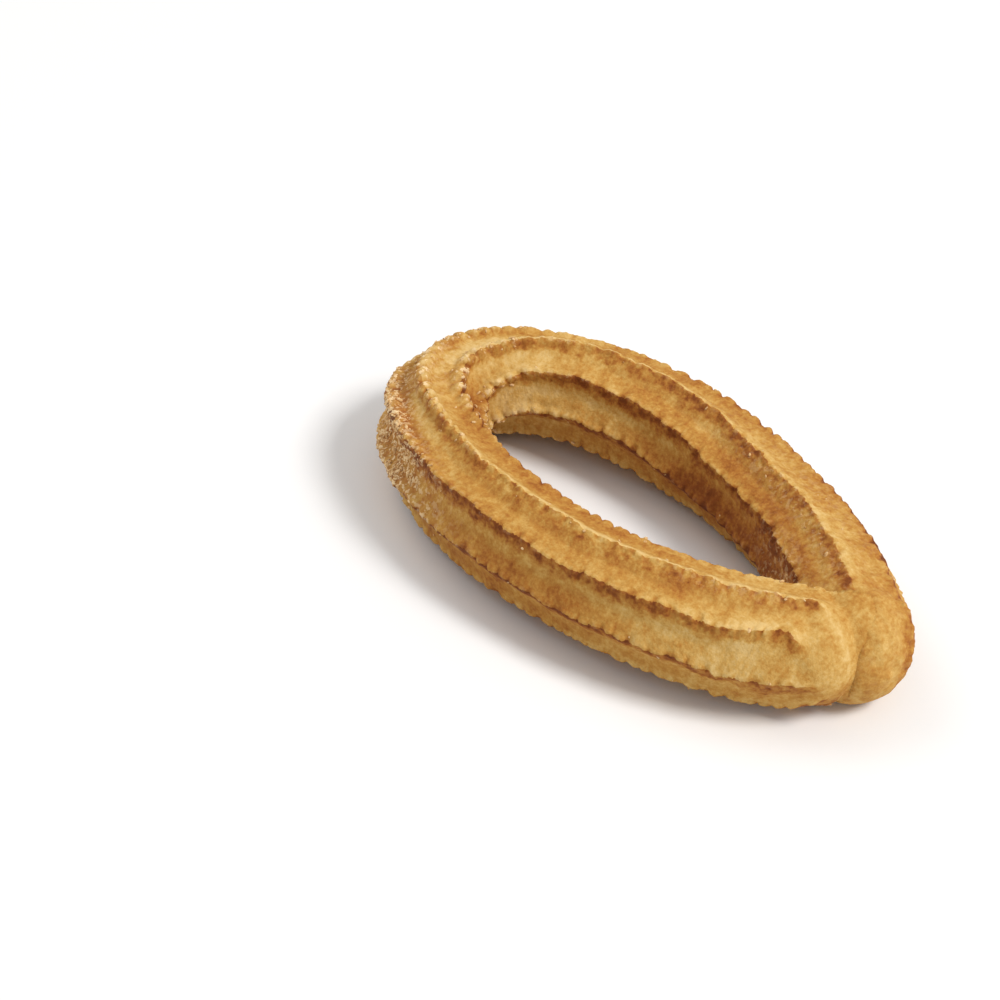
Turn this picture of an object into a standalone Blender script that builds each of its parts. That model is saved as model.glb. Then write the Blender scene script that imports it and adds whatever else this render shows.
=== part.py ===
"""A churro: a rope of fried dough with a star section, bent round into a teardrop loop.

The rope is piped through a nozzle with eight points, so eight ridges run along it. It starts at the
nose of the loop, goes out along the far leg, round the bend and back along the near leg, and the two
ends are pressed side by side at the nose, where the near end laps a little over the far one. The loop lies flat.
X runs along the loop with the nose at +X, the near leg is on the -Y side, and Z is up. The origin is
the middle of the bounding box at the surface the churro lies on. Lengths are in metres.
"""

import math

import bmesh
import bpy
from mathutils import Vector

# The loop, measured along the middle of the rope
HALF_LENGTH = 0.0452        # from the middle of the loop to the rope's middle at nose or bend
HALF_WIDTH = 0.0234         # from the long axis to the middle of a leg, at its widest
NOSE_FULLNESS = 0.236       # 0 makes an ellipse; more draws the nose end narrower
END_GAP = 0.0043            # from the long axis to the middle of each end
SIDE_DRIFT = -0.0005        # how far the middle of the loop lies off the line from nose to bend
LEG_UNEVENNESS = 0.025      # share by which the far leg stands further out than the near one
LEG_ARCH = 0.0009           # how far the widest parts of the legs stand above nose and bend
LOOP_WARP = -0.0008         # how far the loop is twisted out of flat

# The rope's star section
ROPE_RADIUS = 0.0096        # mean radius over crests and valleys
RIDGES = 8
CREST_RISE = 0.0008         # crest line above the mean radius
VALLEY_DROP = 0.0010        # valley floor below the mean radius
CREST_SHARPNESS = 1.6       # more makes the crests narrower and the valleys wider
THICKNESS_SWELL = 0.015     # share by which the rope swells and thins on its way round
SWELLS = 3                  # how many times it does so
SWELL_START = 0.34          # where in a swell it starts, as a share of one

# How the ridges turn about the rope on their way round, in degrees
CREST_AT_START = 11.0       # the first crest's angle above straight outwards, at the start
LEG_TURN = -15.0            # turn along the far leg
BEND_TURN = 50.0            # turn back through the bend
LEG_TURN_SPAN = (0.13, 0.36)    # shares of the rope's length between which the leg turn happens
BEND_TURN_SPAN = (0.36, 0.66)

# The two ends at the nose. The far one has side 1 and the near one side -1.
END_TURN = {1.0: 0.06, -1.0: 0.22}      # angle round the loop, in radians, from the nose to each end
FAR_END = Vector((0.0476, 0.0029, 0.0002))  # the far end is pushed on to here, past the near one
TIP_RUN = {1.0: -14.0, -1.0: -8.0}      # the way each tip points, in degrees from the long axis
TURN_TO_TIP_SPAN = (0.70, 1.15)         # shares of HALF_LENGTH where the sections swing to that way
TIP_RIDGE_SHARE = {1.0: 0.8, -1.0: 0.1}     # what is left of the ridges at each tip
RIDGE_FADE_SPAN = (0.92, 1.12)          # shares of HALF_LENGTH between which they fade
SEAM_SIDE = -0.0025         # the seam's place across the long axis, at the tips
SEAM_SWING_SPAN = (0.78, 1.0)           # shares of HALF_LENGTH between which it gets there
SEAM_OVERLAP = 0.0001       # each end runs this far into the other, which joins them
SEAM_ROUNDING = 0.0005      # softness of the edge where an end meets the seam
LAP_HEIGHT = 0.0050         # above this height the near end laps over the far one
LAP_RISE = 0.0036           # height over which the lap grows to its full width
LAP_WIDTH = 0.0070
LAP_SPAN = (0.85, 1.12)     # shares of HALF_LENGTH between which the lap comes in

# The flattened underside
LYING_DROP = 0.0099         # from the rope's middle height to the surface it lies on
SETTLING = 0.0010           # whatever is this close to that surface has settled on to it

# How finely the surface is divided
LEG_SECTIONS = 50           # sections along each leg, up to the middle of the bend
TIP_SECTIONS = 7
HULL_BALLS = 36             # balls that stand for the body of each leg where it nears its tip
SEAM_HALVINGS = 18          # steps of the search for the seam along a line
SIDES_PER_RIDGE = 4

DOUGH_COLOUR = (0.47, 0.24, 0.06, 1.0)
DOUGH_ROUGHNESS = 0.7


def smooth_step(value, span):
    """A value's way through a span, from 0 to 1, with a soft start and end."""
    share = min(max((value - span[0]) / (span[1] - span[0]), 0.0), 1.0)
    return share * share * (3.0 - 2.0 * share)


def loop_point(turn):
    """The middle of the rope at an angle round the loop: 0 at the nose, pi at the bend."""
    side = math.copysign(1.0, math.sin(turn))
    body = HALF_WIDTH * abs(math.sin(turn)) * math.sin(turn / 2.0) ** NOSE_FULLNESS
    ends = END_GAP * abs(math.cos(turn / 2.0)) ** 3
    along = math.cos(turn)
    across = side * math.hypot(body, ends) * (1.0 + side * LEG_UNEVENNESS)
    across += SIDE_DRIFT * (1.0 - along * along)
    spread = across / HALF_WIDTH
    height = LEG_ARCH * spread * spread + LOOP_WARP * along * spread
    return Vector((HALF_LENGTH * along, across, height))


def even_turns(first, last, count):
    """Angles round the loop that divide the rope between two of them into equal lengths."""
    steps = 2000
    turns = [first + (last - first) * index / steps for index in range(steps + 1)]
    points = [loop_point(turn) for turn in turns]
    lengths = [0.0]
    for before, after in zip(points, points[1:]):
        lengths.append(lengths[-1] + (after - before).length)
    chosen = []
    reached = 0
    for index in range(count + 1):
        wanted = lengths[-1] * index / count
        while reached < steps and lengths[reached] < wanted:
            reached += 1
        chosen.append(turns[reached])
    return chosen


def ridge_turn(share):
    """The first crest's angle about the rope, at a share of the way from the far tip to the near one."""
    angle = CREST_AT_START
    angle += LEG_TURN * smooth_step(share, LEG_TURN_SPAN)
    angle += BEND_TURN * smooth_step(share, BEND_TURN_SPAN)
    return math.radians(angle)


def leg_balls(side):
    """The balls that make up one leg's body, from its widest part to its end, as middles."""
    first = END_TURN[side]
    middles = []
    for index in range(HULL_BALLS + 1):
        turn = first + (0.5 * math.pi - first) * (index / HULL_BALLS) ** 1.5
        middles.append(loop_point(turn if side > 0 else 2.0 * math.pi - turn))
    if side > 0:
        middles += [middles[0].lerp(FAR_END, share / 4.0) for share in range(1, 5)]
    return middles


def way_out(start, direction, balls):
    """How far a line from a point inside a row of touching balls runs before it leaves them."""
    reach = 0.0
    growing = True
    while growing:
        growing = False
        for middle in balls:
            offset = middle - start
            along = offset.dot(direction)
            square = ROPE_RADIUS * ROPE_RADIUS - offset.length_squared + along * along
            if square <= 0.0:
                continue
            half = math.sqrt(square)
            if along - half <= reach and along + half > reach + 1e-6:
                reach = along + half
                growing = True
    return reach


def past_seam(point):
    """How far a point lies past the seam, on the far end's side of it."""
    along = point.x / HALF_LENGTH
    lap = max(point.z - LAP_HEIGHT, 0.0) / LAP_RISE
    seam = SEAM_SIDE * smooth_step(along, SEAM_SWING_SPAN)
    seam += LAP_WIDTH * lap * lap * smooth_step(along, LAP_SPAN)
    return point.y - seam


def thickness(share):
    """How thick the rope is at a share of its length, against its mean thickness."""
    return 1.0 + THICKNESS_SWELL * math.sin(2.0 * math.pi * (SWELLS * share + SWELL_START))


class Section:
    """One cross-section of the rope: its middle, the way the rope runs there, and its outline."""

    def __init__(self, middle, heading, share, side, balls):
        self.middle = middle
        self.outward = Vector((heading.y, -heading.x, 0.0)).normalized()
        self.upward = self.outward.cross(heading).normalized()
        self.crest_angle = ridge_turn(share)
        self.thickness = thickness(share)
        self.side = side
        self.balls = balls
        fading = smooth_step(middle.x / HALF_LENGTH, RIDGE_FADE_SPAN)
        self.ridge_share = 1.0 + fading * (TIP_RIDGE_SHARE[side] - 1.0)

    def star_radius(self, angle, direction):
        """Distance from the middle to the piped surface, before the other end presses on it."""
        body = way_out(self.middle, direction, self.balls) if self.balls else ROPE_RADIUS
        wave = (0.5 + 0.5 * math.cos(RIDGES * (angle - self.crest_angle))) ** CREST_SHARPNESS
        relief = wave * (CREST_RISE + VALLEY_DROP) - VALLEY_DROP
        relief *= self.ridge_share * min(body / ROPE_RADIUS, 1.0)
        return self.thickness * (body + relief)

    def pressed_radius(self, direction, reach):
        """The radius after the seam has cut it off, with a soft edge at the seam."""
        def beyond(radius):
            return past_seam(self.middle + direction * radius) * self.side + SEAM_OVERLAP

        most = reach + 6.0 * SEAM_ROUNDING
        if not self.balls or beyond(most) >= 0.0:
            return reach
        inside, outside = 0.0, most
        for _ in range(SEAM_HALVINGS):
            halfway = (inside + outside) / 2.0
            if beyond(halfway) >= 0.0:
                inside = halfway
            else:
                outside = halfway
        excess = (reach - inside) / SEAM_ROUNDING
        return reach - SEAM_ROUNDING * math.log1p(math.exp(min(excess, 30.0)))

    def ring(self):
        """The section's outline, with a point on every crest and in every valley."""
        count = RIDGES * SIDES_PER_RIDGE
        points = []
        for index in range(count):
            angle = self.crest_angle + 2.0 * math.pi * index / count
            direction = self.outward * math.cos(angle) + self.upward * math.sin(angle)
            radius = self.pressed_radius(direction, self.star_radius(angle, direction))
            point = self.middle + direction * radius
            if point.z < SETTLING - LYING_DROP:
                point.z = -LYING_DROP
            points.append(point)
        return points


def tip_run(side):
    """The way a tip points, along the rope and out of it."""
    angle = math.radians(TIP_RUN[side])
    return Vector((math.cos(angle), math.sin(angle), 0.0))


def section_heading(turn, middle, side):
    """The way a section faces: along the rope, swung to the tip's own way near the nose."""
    tangent = (loop_point(turn + 0.002) - loop_point(turn - 0.002)).normalized()
    nearness = smooth_step(middle.x / HALF_LENGTH, TURN_TO_TIP_SPAN)
    return tangent.lerp(tip_run(side) * -side, nearness).normalized()


def leg_sections(side, balls):
    """The sections of one half of the rope, from its tip to the middle of the bend."""
    sections = []
    for index, turn in enumerate(even_turns(END_TURN[side], math.pi, LEG_SECTIONS)):
        share = 0.5 * index / LEG_SECTIONS
        turn = turn if side > 0 else 2.0 * math.pi - turn
        share = share if side > 0 else 1.0 - share
        middle = loop_point(turn)
        heading = section_heading(turn, middle, side)
        sections.append(Section(middle, heading, share, side, balls if middle.x > 0 else []))
    return tip_sections(sections[0], balls, side) + sections


def tip_sections(last_full, balls, side):
    """The shrinking sections of a tip, from its very end to the last full section."""
    run = tip_run(side)
    reach = way_out(last_full.middle, run, balls)
    turn = END_TURN[side] if side > 0 else 2.0 * math.pi - END_TURN[side]
    sections = []
    for index in range(TIP_SECTIONS, 0, -1):
        way = math.sin(0.5 * math.pi * (index - 0.35) / TIP_SECTIONS)
        middle = last_full.middle + run * (reach * way)
        heading = section_heading(turn, middle, side)
        sections.append(Section(middle, heading, 0.0 if side > 0 else 1.0, side, balls))
    return sections


def half_rope(side):
    """One half of the rope as a closed mesh: a pole at the tip and a flat face across the bend."""
    sections = leg_sections(side, leg_balls(1.0) + leg_balls(-1.0))
    mesh = bmesh.new()
    rings = [[mesh.verts.new(point) for point in section.ring()] for section in sections]
    count = len(rings[0])
    for before, after in zip(rings, rings[1:]):
        for index in range(count):
            following = (index + 1) % count
            corners = [before[index], after[index], after[following], before[following]]
            mesh.faces.new(corners if side > 0 else corners[::-1])
    tip = mesh.verts.new(sum((vertex.co for vertex in rings[0]), Vector()) / count)
    for index in range(count):
        corners = [tip, rings[0][index], rings[0][(index + 1) % count]]
        mesh.faces.new(corners if side > 0 else corners[::-1])
    middle = mesh.verts.new(sections[-1].middle)
    for index in range(count):
        corners = [middle, rings[-1][(index + 1) % count], rings[-1][index]]
        mesh.faces.new(corners if side > 0 else corners[::-1])
    bmesh.ops.triangulate(mesh, faces=mesh.faces[:], quad_method='SHORT_EDGE')
    return mesh


def fried_dough():
    """The crust's own material."""
    material = bpy.data.materials.new("fried_dough")
    material.use_nodes = True
    shader = material.node_tree.nodes["Principled BSDF"]
    shader.inputs["Base Color"].default_value = DOUGH_COLOUR
    shader.inputs["Roughness"].default_value = DOUGH_ROUGHNESS
    shader.inputs["Metallic"].default_value = 0.0
    return material


def base_middle(meshes):
    """The middle of the meshes' common box, at its lowest height."""
    points = [vertex.co for mesh in meshes for vertex in mesh.verts]
    low = Vector([min(point[axis] for point in points) for axis in range(3)])
    high = Vector([max(point[axis] for point in points) for axis in range(3)])
    return Vector(((low.x + high.x) / 2.0, (low.y + high.y) / 2.0, low.z))


def place(mesh, name, material):
    """Puts a mesh into the scene as a named object with its material, shaded smooth."""
    data = bpy.data.meshes.new(name)
    mesh.to_mesh(data)
    mesh.free()
    data.materials.append(material)
    data.shade_smooth()
    obj = bpy.data.objects.new(name, data)
    bpy.context.scene.collection.objects.link(obj)
    return obj


def churro():
    """The whole churro: the far half of the rope with the near half joined to it."""
    halves = [half_rope(1.0), half_rope(-1.0)]
    origin = base_middle(halves)
    for mesh in halves:
        bmesh.ops.translate(mesh, verts=mesh.verts[:], vec=-origin)
    dough = fried_dough()
    far_half = place(halves[0], "churro", dough)
    near_half = place(halves[1], "near_half_form", dough)
    near_half.hide_render = True
    near_half.display_type = 'WIRE'
    joining = far_half.modifiers.new("join_halves", 'BOOLEAN')
    joining.operation = 'UNION'
    joining.solver = 'EXACT'
    joining.object = near_half
    return far_half


for leftover in list(bpy.data.objects):
    bpy.data.objects.remove(leftover)
churro()
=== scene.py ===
"""The looks of a fried churro: a ridged rope of dough bent into a loop, with a torn and crumbly crust.

The rope is swept along the loop as a fine mesh, Geometry Nodes then tear its crests and pit its
flanks, and crumbs of crust and pale grains are scattered where the crust has broken. X runs along the
loop with the nose at +X, the near leg is on the -Y side and Z is up. Lengths are in metres.
"""

import logging
import math
from dataclasses import dataclass, field
from enum import Enum

import bpy
import numpy as np
from mathutils import Matrix, Vector


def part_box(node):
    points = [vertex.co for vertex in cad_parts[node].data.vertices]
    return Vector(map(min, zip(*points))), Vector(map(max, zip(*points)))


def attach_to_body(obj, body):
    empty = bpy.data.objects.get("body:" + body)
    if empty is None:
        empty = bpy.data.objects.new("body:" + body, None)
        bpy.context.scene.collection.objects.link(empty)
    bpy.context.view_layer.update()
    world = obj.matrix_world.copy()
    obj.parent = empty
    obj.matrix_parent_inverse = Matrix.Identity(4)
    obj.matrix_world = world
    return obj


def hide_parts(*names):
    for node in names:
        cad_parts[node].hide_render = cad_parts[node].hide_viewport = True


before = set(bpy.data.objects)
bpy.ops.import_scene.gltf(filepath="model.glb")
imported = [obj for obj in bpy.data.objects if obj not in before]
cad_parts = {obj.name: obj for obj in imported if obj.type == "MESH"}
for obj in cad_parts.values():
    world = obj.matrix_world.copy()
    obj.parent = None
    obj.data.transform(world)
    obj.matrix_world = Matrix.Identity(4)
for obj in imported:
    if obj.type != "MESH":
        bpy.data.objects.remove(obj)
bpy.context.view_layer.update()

LOG = logging.getLogger("churro")
NODE = "churro"
BODY = "root"
MM = 0.001

RIDGE_STEP = 0.37

Colour = tuple[float, float, float]


class Side(Enum):
    """The two legs of the loop, each with its sign across the loop."""

    FAR = 1.0
    NEAR = -1.0


class Mark(Enum):
    """The numbers that the rope's points carry, for the relief and for the crust's colour."""

    RUN = "run"
    RIDGE = "ridge"
    PHASE = "phase"
    ASIDE = "aside"
    RIDGED = "ridged"
    CLEAR = "clear"
    UNDER = "under"
    # How well fried a place is, together with painted shade where it faces away from the light.
    DONE = "done"
    BEND = "bend"
    CRUMBLY = "crumbly"
    BOLD = "bold"
    TOOTH = "tooth"
    # Where the pits and the gaps between knobs are, which the crust paints darker as shade in the recesses.
    PIT_SHADE = "pit"


def smooth_step(values: np.ndarray | float, first: float, last: float) -> np.ndarray:
    """The way of values through a span, from 0 to 1, with a soft start and end.

    Args:
        values: The values to place in the span.
        first: Where the span starts.
        last: Where it ends.

    Returns:
        Shares from 0 to 1.
    """
    share = np.clip((values - first) / (last - first), 0.0, 1.0)
    return share * share * (3.0 - 2.0 * share)


def unit(vectors: np.ndarray) -> np.ndarray:
    """Vectors of length 1 along the given ones, one in each row."""
    return vectors / np.linalg.norm(vectors, axis=-1, keepdims=True)


# --------------------------------------------------------------------------- node trees


class Value:
    """A socket of a node tree, with arithmetic that adds Math nodes to the tree."""

    def __init__(self, graph: "Graph", socket: bpy.types.NodeSocket) -> None:
        """Wraps a socket.

        Args:
            graph: The tree that the socket is in.
            socket: An output socket.
        """
        self.graph = graph
        self.socket = socket

    def __add__(self, other: "Value | float") -> "Value":
        """This plus the other."""
        return self.graph.math("ADD", self, other)

    __radd__ = __add__

    def __mul__(self, other: "Value | float") -> "Value":
        """This times the other."""
        return self.graph.math("MULTIPLY", self, other)

    __rmul__ = __mul__

    def __sub__(self, other: "Value | float") -> "Value":
        """This minus the other."""
        return self.graph.math("SUBTRACT", self, other)

    def __rsub__(self, other: float) -> "Value":
        """The other minus this."""
        return self.graph.math("SUBTRACT", other, self)

    def __truediv__(self, other: "Value | float") -> "Value":
        """This divided by the other."""
        return self.graph.math("DIVIDE", self, other)

    def __pow__(self, other: "Value | float") -> "Value":
        """This to the power of the other."""
        return self.graph.math("POWER", self, other)

    def span(self, first: float, last: float) -> "Value":
        """This value's way through a span, from 0 to 1, with a soft start and end."""
        node = self.graph.node("ShaderNodeMapRange", interpolation_type="SMOOTHSTEP")
        self.graph.put(node.inputs["Value"], self)
        node.inputs["From Min"].default_value = first
        node.inputs["From Max"].default_value = last
        return Value(self.graph, node.outputs["Result"])


class Graph:
    """A node tree with short ways to add nodes, for materials and for geometry alike."""

    def __init__(self, tree: bpy.types.NodeTree) -> None:
        """Wraps a tree.

        Args:
            tree: A shader or geometry node tree.
        """
        self.tree = tree

    def node(self, kind: str, **settings: object) -> bpy.types.Node:
        """Adds a node.

        Args:
            kind: The node's type.
            **settings: Its properties.

        Returns:
            The new node.
        """
        node = self.tree.nodes.new(kind)
        for name, value in settings.items():
            setattr(node, name, value)
        return node

    def put(self, socket: bpy.types.NodeSocket, value: object) -> None:
        """Sets an input socket to a plain value, or links a Value to it."""
        if isinstance(value, Value):
            self.tree.links.new(value.socket, socket)
        else:
            socket.default_value = value

    def run(self, kind: str, inputs: dict[str, object], output: str, **settings: object) -> Value:
        """Adds a node, fills its inputs and gives one of its outputs.

        Args:
            kind: The node's type.
            inputs: Values by the names of the input sockets.
            output: The name of the output socket wanted.
            **settings: The node's properties.

        Returns:
            The output.
        """
        node = self.node(kind, **settings)
        for name, value in inputs.items():
            self.put(shown_socket(node.inputs, name), value)
        return Value(self, shown_socket(node.outputs, output))

    def math(self, operation: str, *values: "Value | float", clamp: bool = False) -> Value:
        """Adds a Math node.

        Args:
            operation: Its operation.
            *values: Its inputs, in order.
            clamp: Whether the result is kept between 0 and 1.

        Returns:
            The result.
        """
        node = self.node("ShaderNodeMath", operation=operation, use_clamp=clamp)
        for socket, value in zip(node.inputs, values):
            self.put(socket, value)
        return Value(self, node.outputs[0])

    def vector_math(self, operation: str, first: Value, **inputs: object) -> Value:
        """Adds a Vector Math node.

        Args:
            operation: Its operation.
            first: Its first vector.
            **inputs: A second vector as other, or a number as scale.

        Returns:
            The resulting vector.
        """
        node = self.node("ShaderNodeVectorMath", operation=operation)
        self.put(node.inputs[0], first)
        if "other" in inputs:
            self.put(node.inputs[1], inputs["other"])
        if "scale" in inputs:
            self.put(node.inputs["Scale"], inputs["scale"])
        return Value(self, node.outputs[0])

    def vector(self, x: "Value | float", y: "Value | float", z: "Value | float") -> Value:
        """A vector from its three parts."""
        return self.run("ShaderNodeCombineXYZ", {"X": x, "Y": y, "Z": z}, "Vector")

    def noise(self, where: Value, size: float, detail: float = 2.0, roughness: float = 0.5) -> Value:
        """Soft noise around a half.

        Args:
            where: The place to read it at, as a vector in metres.
            size: The size of its lumps in metres.
            detail: How many finer layers it has.
            roughness: How strong those are.

        Returns:
            The noise, mostly between 0.25 and 0.75.
        """
        node = self.node("ShaderNodeTexNoise", noise_dimensions="3D")
        self.put(node.inputs["Vector"], where)
        node.inputs["Scale"].default_value = 1.0 / size
        node.inputs["Detail"].default_value = detail
        node.inputs["Roughness"].default_value = roughness
        return Value(self, node.outputs[0])

    def cells(self, where: Value, size: "Value | float", randomness: float = 1.0) -> tuple[Value, Value]:
        """Cells of random shape, each with a random colour.

        Args:
            where: The place to read them at, as a vector in metres.
            size: The cells' size in metres.
            randomness: How uneven they are.

        Returns:
            The distance from the cell's middle as a share of its size, and the cell's colour.
        """
        node = self.node("ShaderNodeTexVoronoi", voronoi_dimensions="3D", feature="F1")
        self.put(node.inputs["Vector"], where)
        self.put(node.inputs["Scale"], 1.0 / size if isinstance(size, float) else self.math("DIVIDE", 1.0, size))
        node.inputs["Randomness"].default_value = randomness
        return Value(self, node.outputs["Distance"]), Value(self, node.outputs["Color"])


    def cells_along(self, where: Value, feature: str, output: str, randomness: float) -> Value:
        """Uneven cells along a line.

        Args:
            where: The place on the line, with cells about 1 long.
            feature: What is measured: F1 for the cell's middle, DISTANCE_TO_EDGE for its edges.
            output: The output wanted, Distance or Color.
            randomness: How uneven the cells are.

        Returns:
            The output.
        """
        inputs = {"W": where, "Scale": 1.0, "Randomness": randomness}
        return self.run("ShaderNodeTexVoronoi", inputs, output, voronoi_dimensions="1D", feature=feature)


def shown_socket(sockets: bpy.types.bpy_prop_collection, name: str) -> bpy.types.NodeSocket:
    """The socket of that name that is in use, where a node has one for each type of data."""
    return next(socket for socket in sockets if socket.name == name and socket.enabled)


# --------------------------------------------------------------------------- the rope's form


@dataclass(frozen=True)
class LoopPath:
    """The line along the middle of the rope, from the nose out along the far leg and back.

    A turn is an angle round the loop: 0 at the nose, pi at the bend and two pi at the nose again.
    """

    half_length: float = 0.0452
    half_width: float = 0.0234
    nose_fullness: float = 0.236
    end_gap: float = 0.0043
    side_drift: float = -0.0005
    leg_unevenness: float = 0.025
    leg_arch: float = 0.0009
    loop_warp: float = -0.0008

    def points(self, turns: np.ndarray) -> np.ndarray:
        """The places on the line at some turns, one in each row."""
        side = np.copysign(1.0, np.sin(turns))
        body = self.half_width * np.abs(np.sin(turns)) * np.abs(np.sin(turns / 2.0)) ** self.nose_fullness
        ends = self.end_gap * np.abs(np.cos(turns / 2.0)) ** 3
        along = np.cos(turns)
        across = side * np.hypot(body, ends) * (1.0 + side * self.leg_unevenness)
        across = across + self.side_drift * (1.0 - along * along)
        spread = across / self.half_width
        height = self.leg_arch * spread * spread + self.loop_warp * along * spread
        return np.stack([self.half_length * along, across, height], axis=-1)

    def tangents(self, turns: np.ndarray) -> np.ndarray:
        """The way the line runs at some turns."""
        step = 0.002
        return unit(self.points(turns + step) - self.points(turns - step))

    def even_turns(self, first: float, last: float, count: int) -> np.ndarray:
        """Turns that divide the line between two of them into equal lengths.

        Args:
            first: The turn to start at.
            last: The turn to end at.
            count: How many lengths there are.

        Returns:
            One turn more than there are lengths.
        """
        turns = np.linspace(first, last, 8001)
        steps = np.linalg.norm(np.diff(self.points(turns), axis=0), axis=1)
        lengths = np.concatenate([[0.0], np.cumsum(steps)])
        return np.interp(np.linspace(0.0, lengths[-1], count + 1), lengths, turns)


@dataclass(frozen=True)
class Nose:
    """How the two ends of the rope are shaped and pressed together at the nose of the loop."""

    end_turn: dict[Side, float] = field(default_factory=lambda: {Side.FAR: 0.06, Side.NEAR: 0.22})
    far_ends: tuple[Colour, ...] = ((0.0476, 0.0029, 0.0002), (0.0479, 0.0024, -0.0012))
    tip_run: dict[Side, float] = field(default_factory=lambda: {Side.FAR: -20.0, Side.NEAR: -8.0})
    tip_dip: dict[Side, float] = field(default_factory=lambda: {Side.FAR: 35.0, Side.NEAR: 0.0})
    turn_to_tip: tuple[float, float] = (0.60, 1.05)
    far_tip_ridges: float = 0.9
    far_ridge_fade: tuple[float, float] = (0.0430, 0.0490)
    far_ridge_return: tuple[float, float] = (0.0040, 0.0090)
    near_ridge_fade: tuple[float, float] = (0.0495, 0.0525)
    fade_lean: float = 0.52
    seam_start: float = 0.0425
    seam_softness: float = 0.0010
    seam_lean: float = 0.42
    seam_overlap: float = 0.0001
    seam_rounding: float = 0.00035
    lap_height: float = 0.0094
    lap_width: float = 0.0050
    lap_power: float = 2.6
    lap_span: tuple[float, float] = (0.0390, 0.0510)
    balls: int = 36
    seam_halvings: int = 18

    def run(self, side: Side) -> np.ndarray:
        """The way a tip points, along the rope and out of it."""
        angle, dip = math.radians(self.tip_run[side]), math.radians(self.tip_dip[side])
        return np.array([math.cos(angle) * math.cos(dip), math.sin(angle) * math.cos(dip), -math.sin(dip)])

    def leg_balls(self, path: LoopPath, side: Side) -> np.ndarray:
        """The middles of the balls that stand for one leg's body, from its widest part to its end.

        Args:
            path: The rope's middle line.
            side: Which leg.

        Returns:
            One middle in each row.
        """
        first = self.end_turn[side]
        shares = np.linspace(0.0, 1.0, self.balls + 1) ** 1.5
        turns = first + (0.5 * math.pi - first) * shares
        middles = path.points(turns if side is Side.FAR else 2.0 * math.pi - turns)
        if side is Side.NEAR:
            return middles
        steps = np.linspace(0.25, 1.0, 4)[:, None]
        ends = [middles[0] + (np.array(end) - middles[0]) * steps for end in self.far_ends]
        return np.concatenate([middles, *ends])

    def past_seam(self, points: np.ndarray) -> np.ndarray:
        """How far points lie past the seam, on the far end's side of it.

        Args:
            points: Places in the loop, one in each row.

        Returns:
            Distances in metres.
        """
        past_start = (points[..., 0] - self.seam_start) / self.seam_softness
        seam = -self.seam_lean * self.seam_softness * np.logaddexp(0.0, past_start)
        lap = self.lap_width * (np.maximum(points[..., 2], 0.0) / self.lap_height) ** self.lap_power
        seam = seam + lap * smooth_step(points[..., 0], *self.lap_span)
        return points[..., 1] - seam


@dataclass(frozen=True)
class StarRope:
    """The section that the nozzle gives the rope, and how its ridges turn on their way round."""

    radius: float = 0.0096
    ridges: int = 8
    crest_rise: float = 0.0008
    valley_drop: float = 0.0010
    nose_flatness: dict[Side, float] = field(default_factory=lambda: {Side.FAR: 0.75, Side.NEAR: 0.30})
    nose_span: tuple[float, float] = (0.25, 0.47)
    crest_sharpness: float = 1.5
    crest_rounding: float = 0.45
    leg_bead: tuple[float, float] = (0.16, 0.50)
    bend_bead: tuple[float, float] = (0.85, 1.40)
    bend_valley: float = 0.0005
    bend_middle: float = 0.53
    bend_reach: float = 0.115
    swell: float = 0.015
    swells: int = 3
    swell_start: float = 0.34
    crest_at_start: float = 11.0
    leg_turn: float = -15.0
    bend_turn: float = 50.0
    leg_turn_span: tuple[float, float] = (0.13, 0.36)
    bend_turn_span: tuple[float, float] = (0.36, 0.66)
    lying_drop: float = 0.0099
    settling: float = 0.0004
    # The side away from the light, down and towards the camera, where the stripes under the crests are painted as
    # shade.
    lee_side: Colour = (0.42, -0.42, -0.80)
    streak_closeness: float = 0.25

    def ridge_angles(self, shares: np.ndarray) -> np.ndarray:
        """The first crest's angle about the rope, in radians, at shares of the rope's length."""
        angles = self.crest_at_start + self.leg_turn * smooth_step(shares, *self.leg_turn_span)
        return np.radians(angles + self.bend_turn * smooth_step(shares, *self.bend_turn_span))

    def thickness(self, shares: np.ndarray) -> np.ndarray:
        """How thick the rope is at shares of its length, against its mean thickness."""
        return 1.0 + self.swell * np.sin(2.0 * math.pi * (self.swells * shares + self.swell_start))


@dataclass(frozen=True)
class Patch:
    """A soft-edged place on the rope, where it is for instance darker or more crumbly."""

    share: float
    angle: float
    share_width: float
    angle_width: float
    amount: float

    def at(self, shares: np.ndarray, angles: np.ndarray) -> np.ndarray:
        """How strong the patch is at shares of the rope and angles about it in degrees."""
        turned = (angles - self.angle + 180.0) % 360.0 - 180.0
        away = ((shares - self.share) / self.share_width) ** 2 + (turned / self.angle_width) ** 2
        return self.amount * np.exp(-away)


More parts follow.
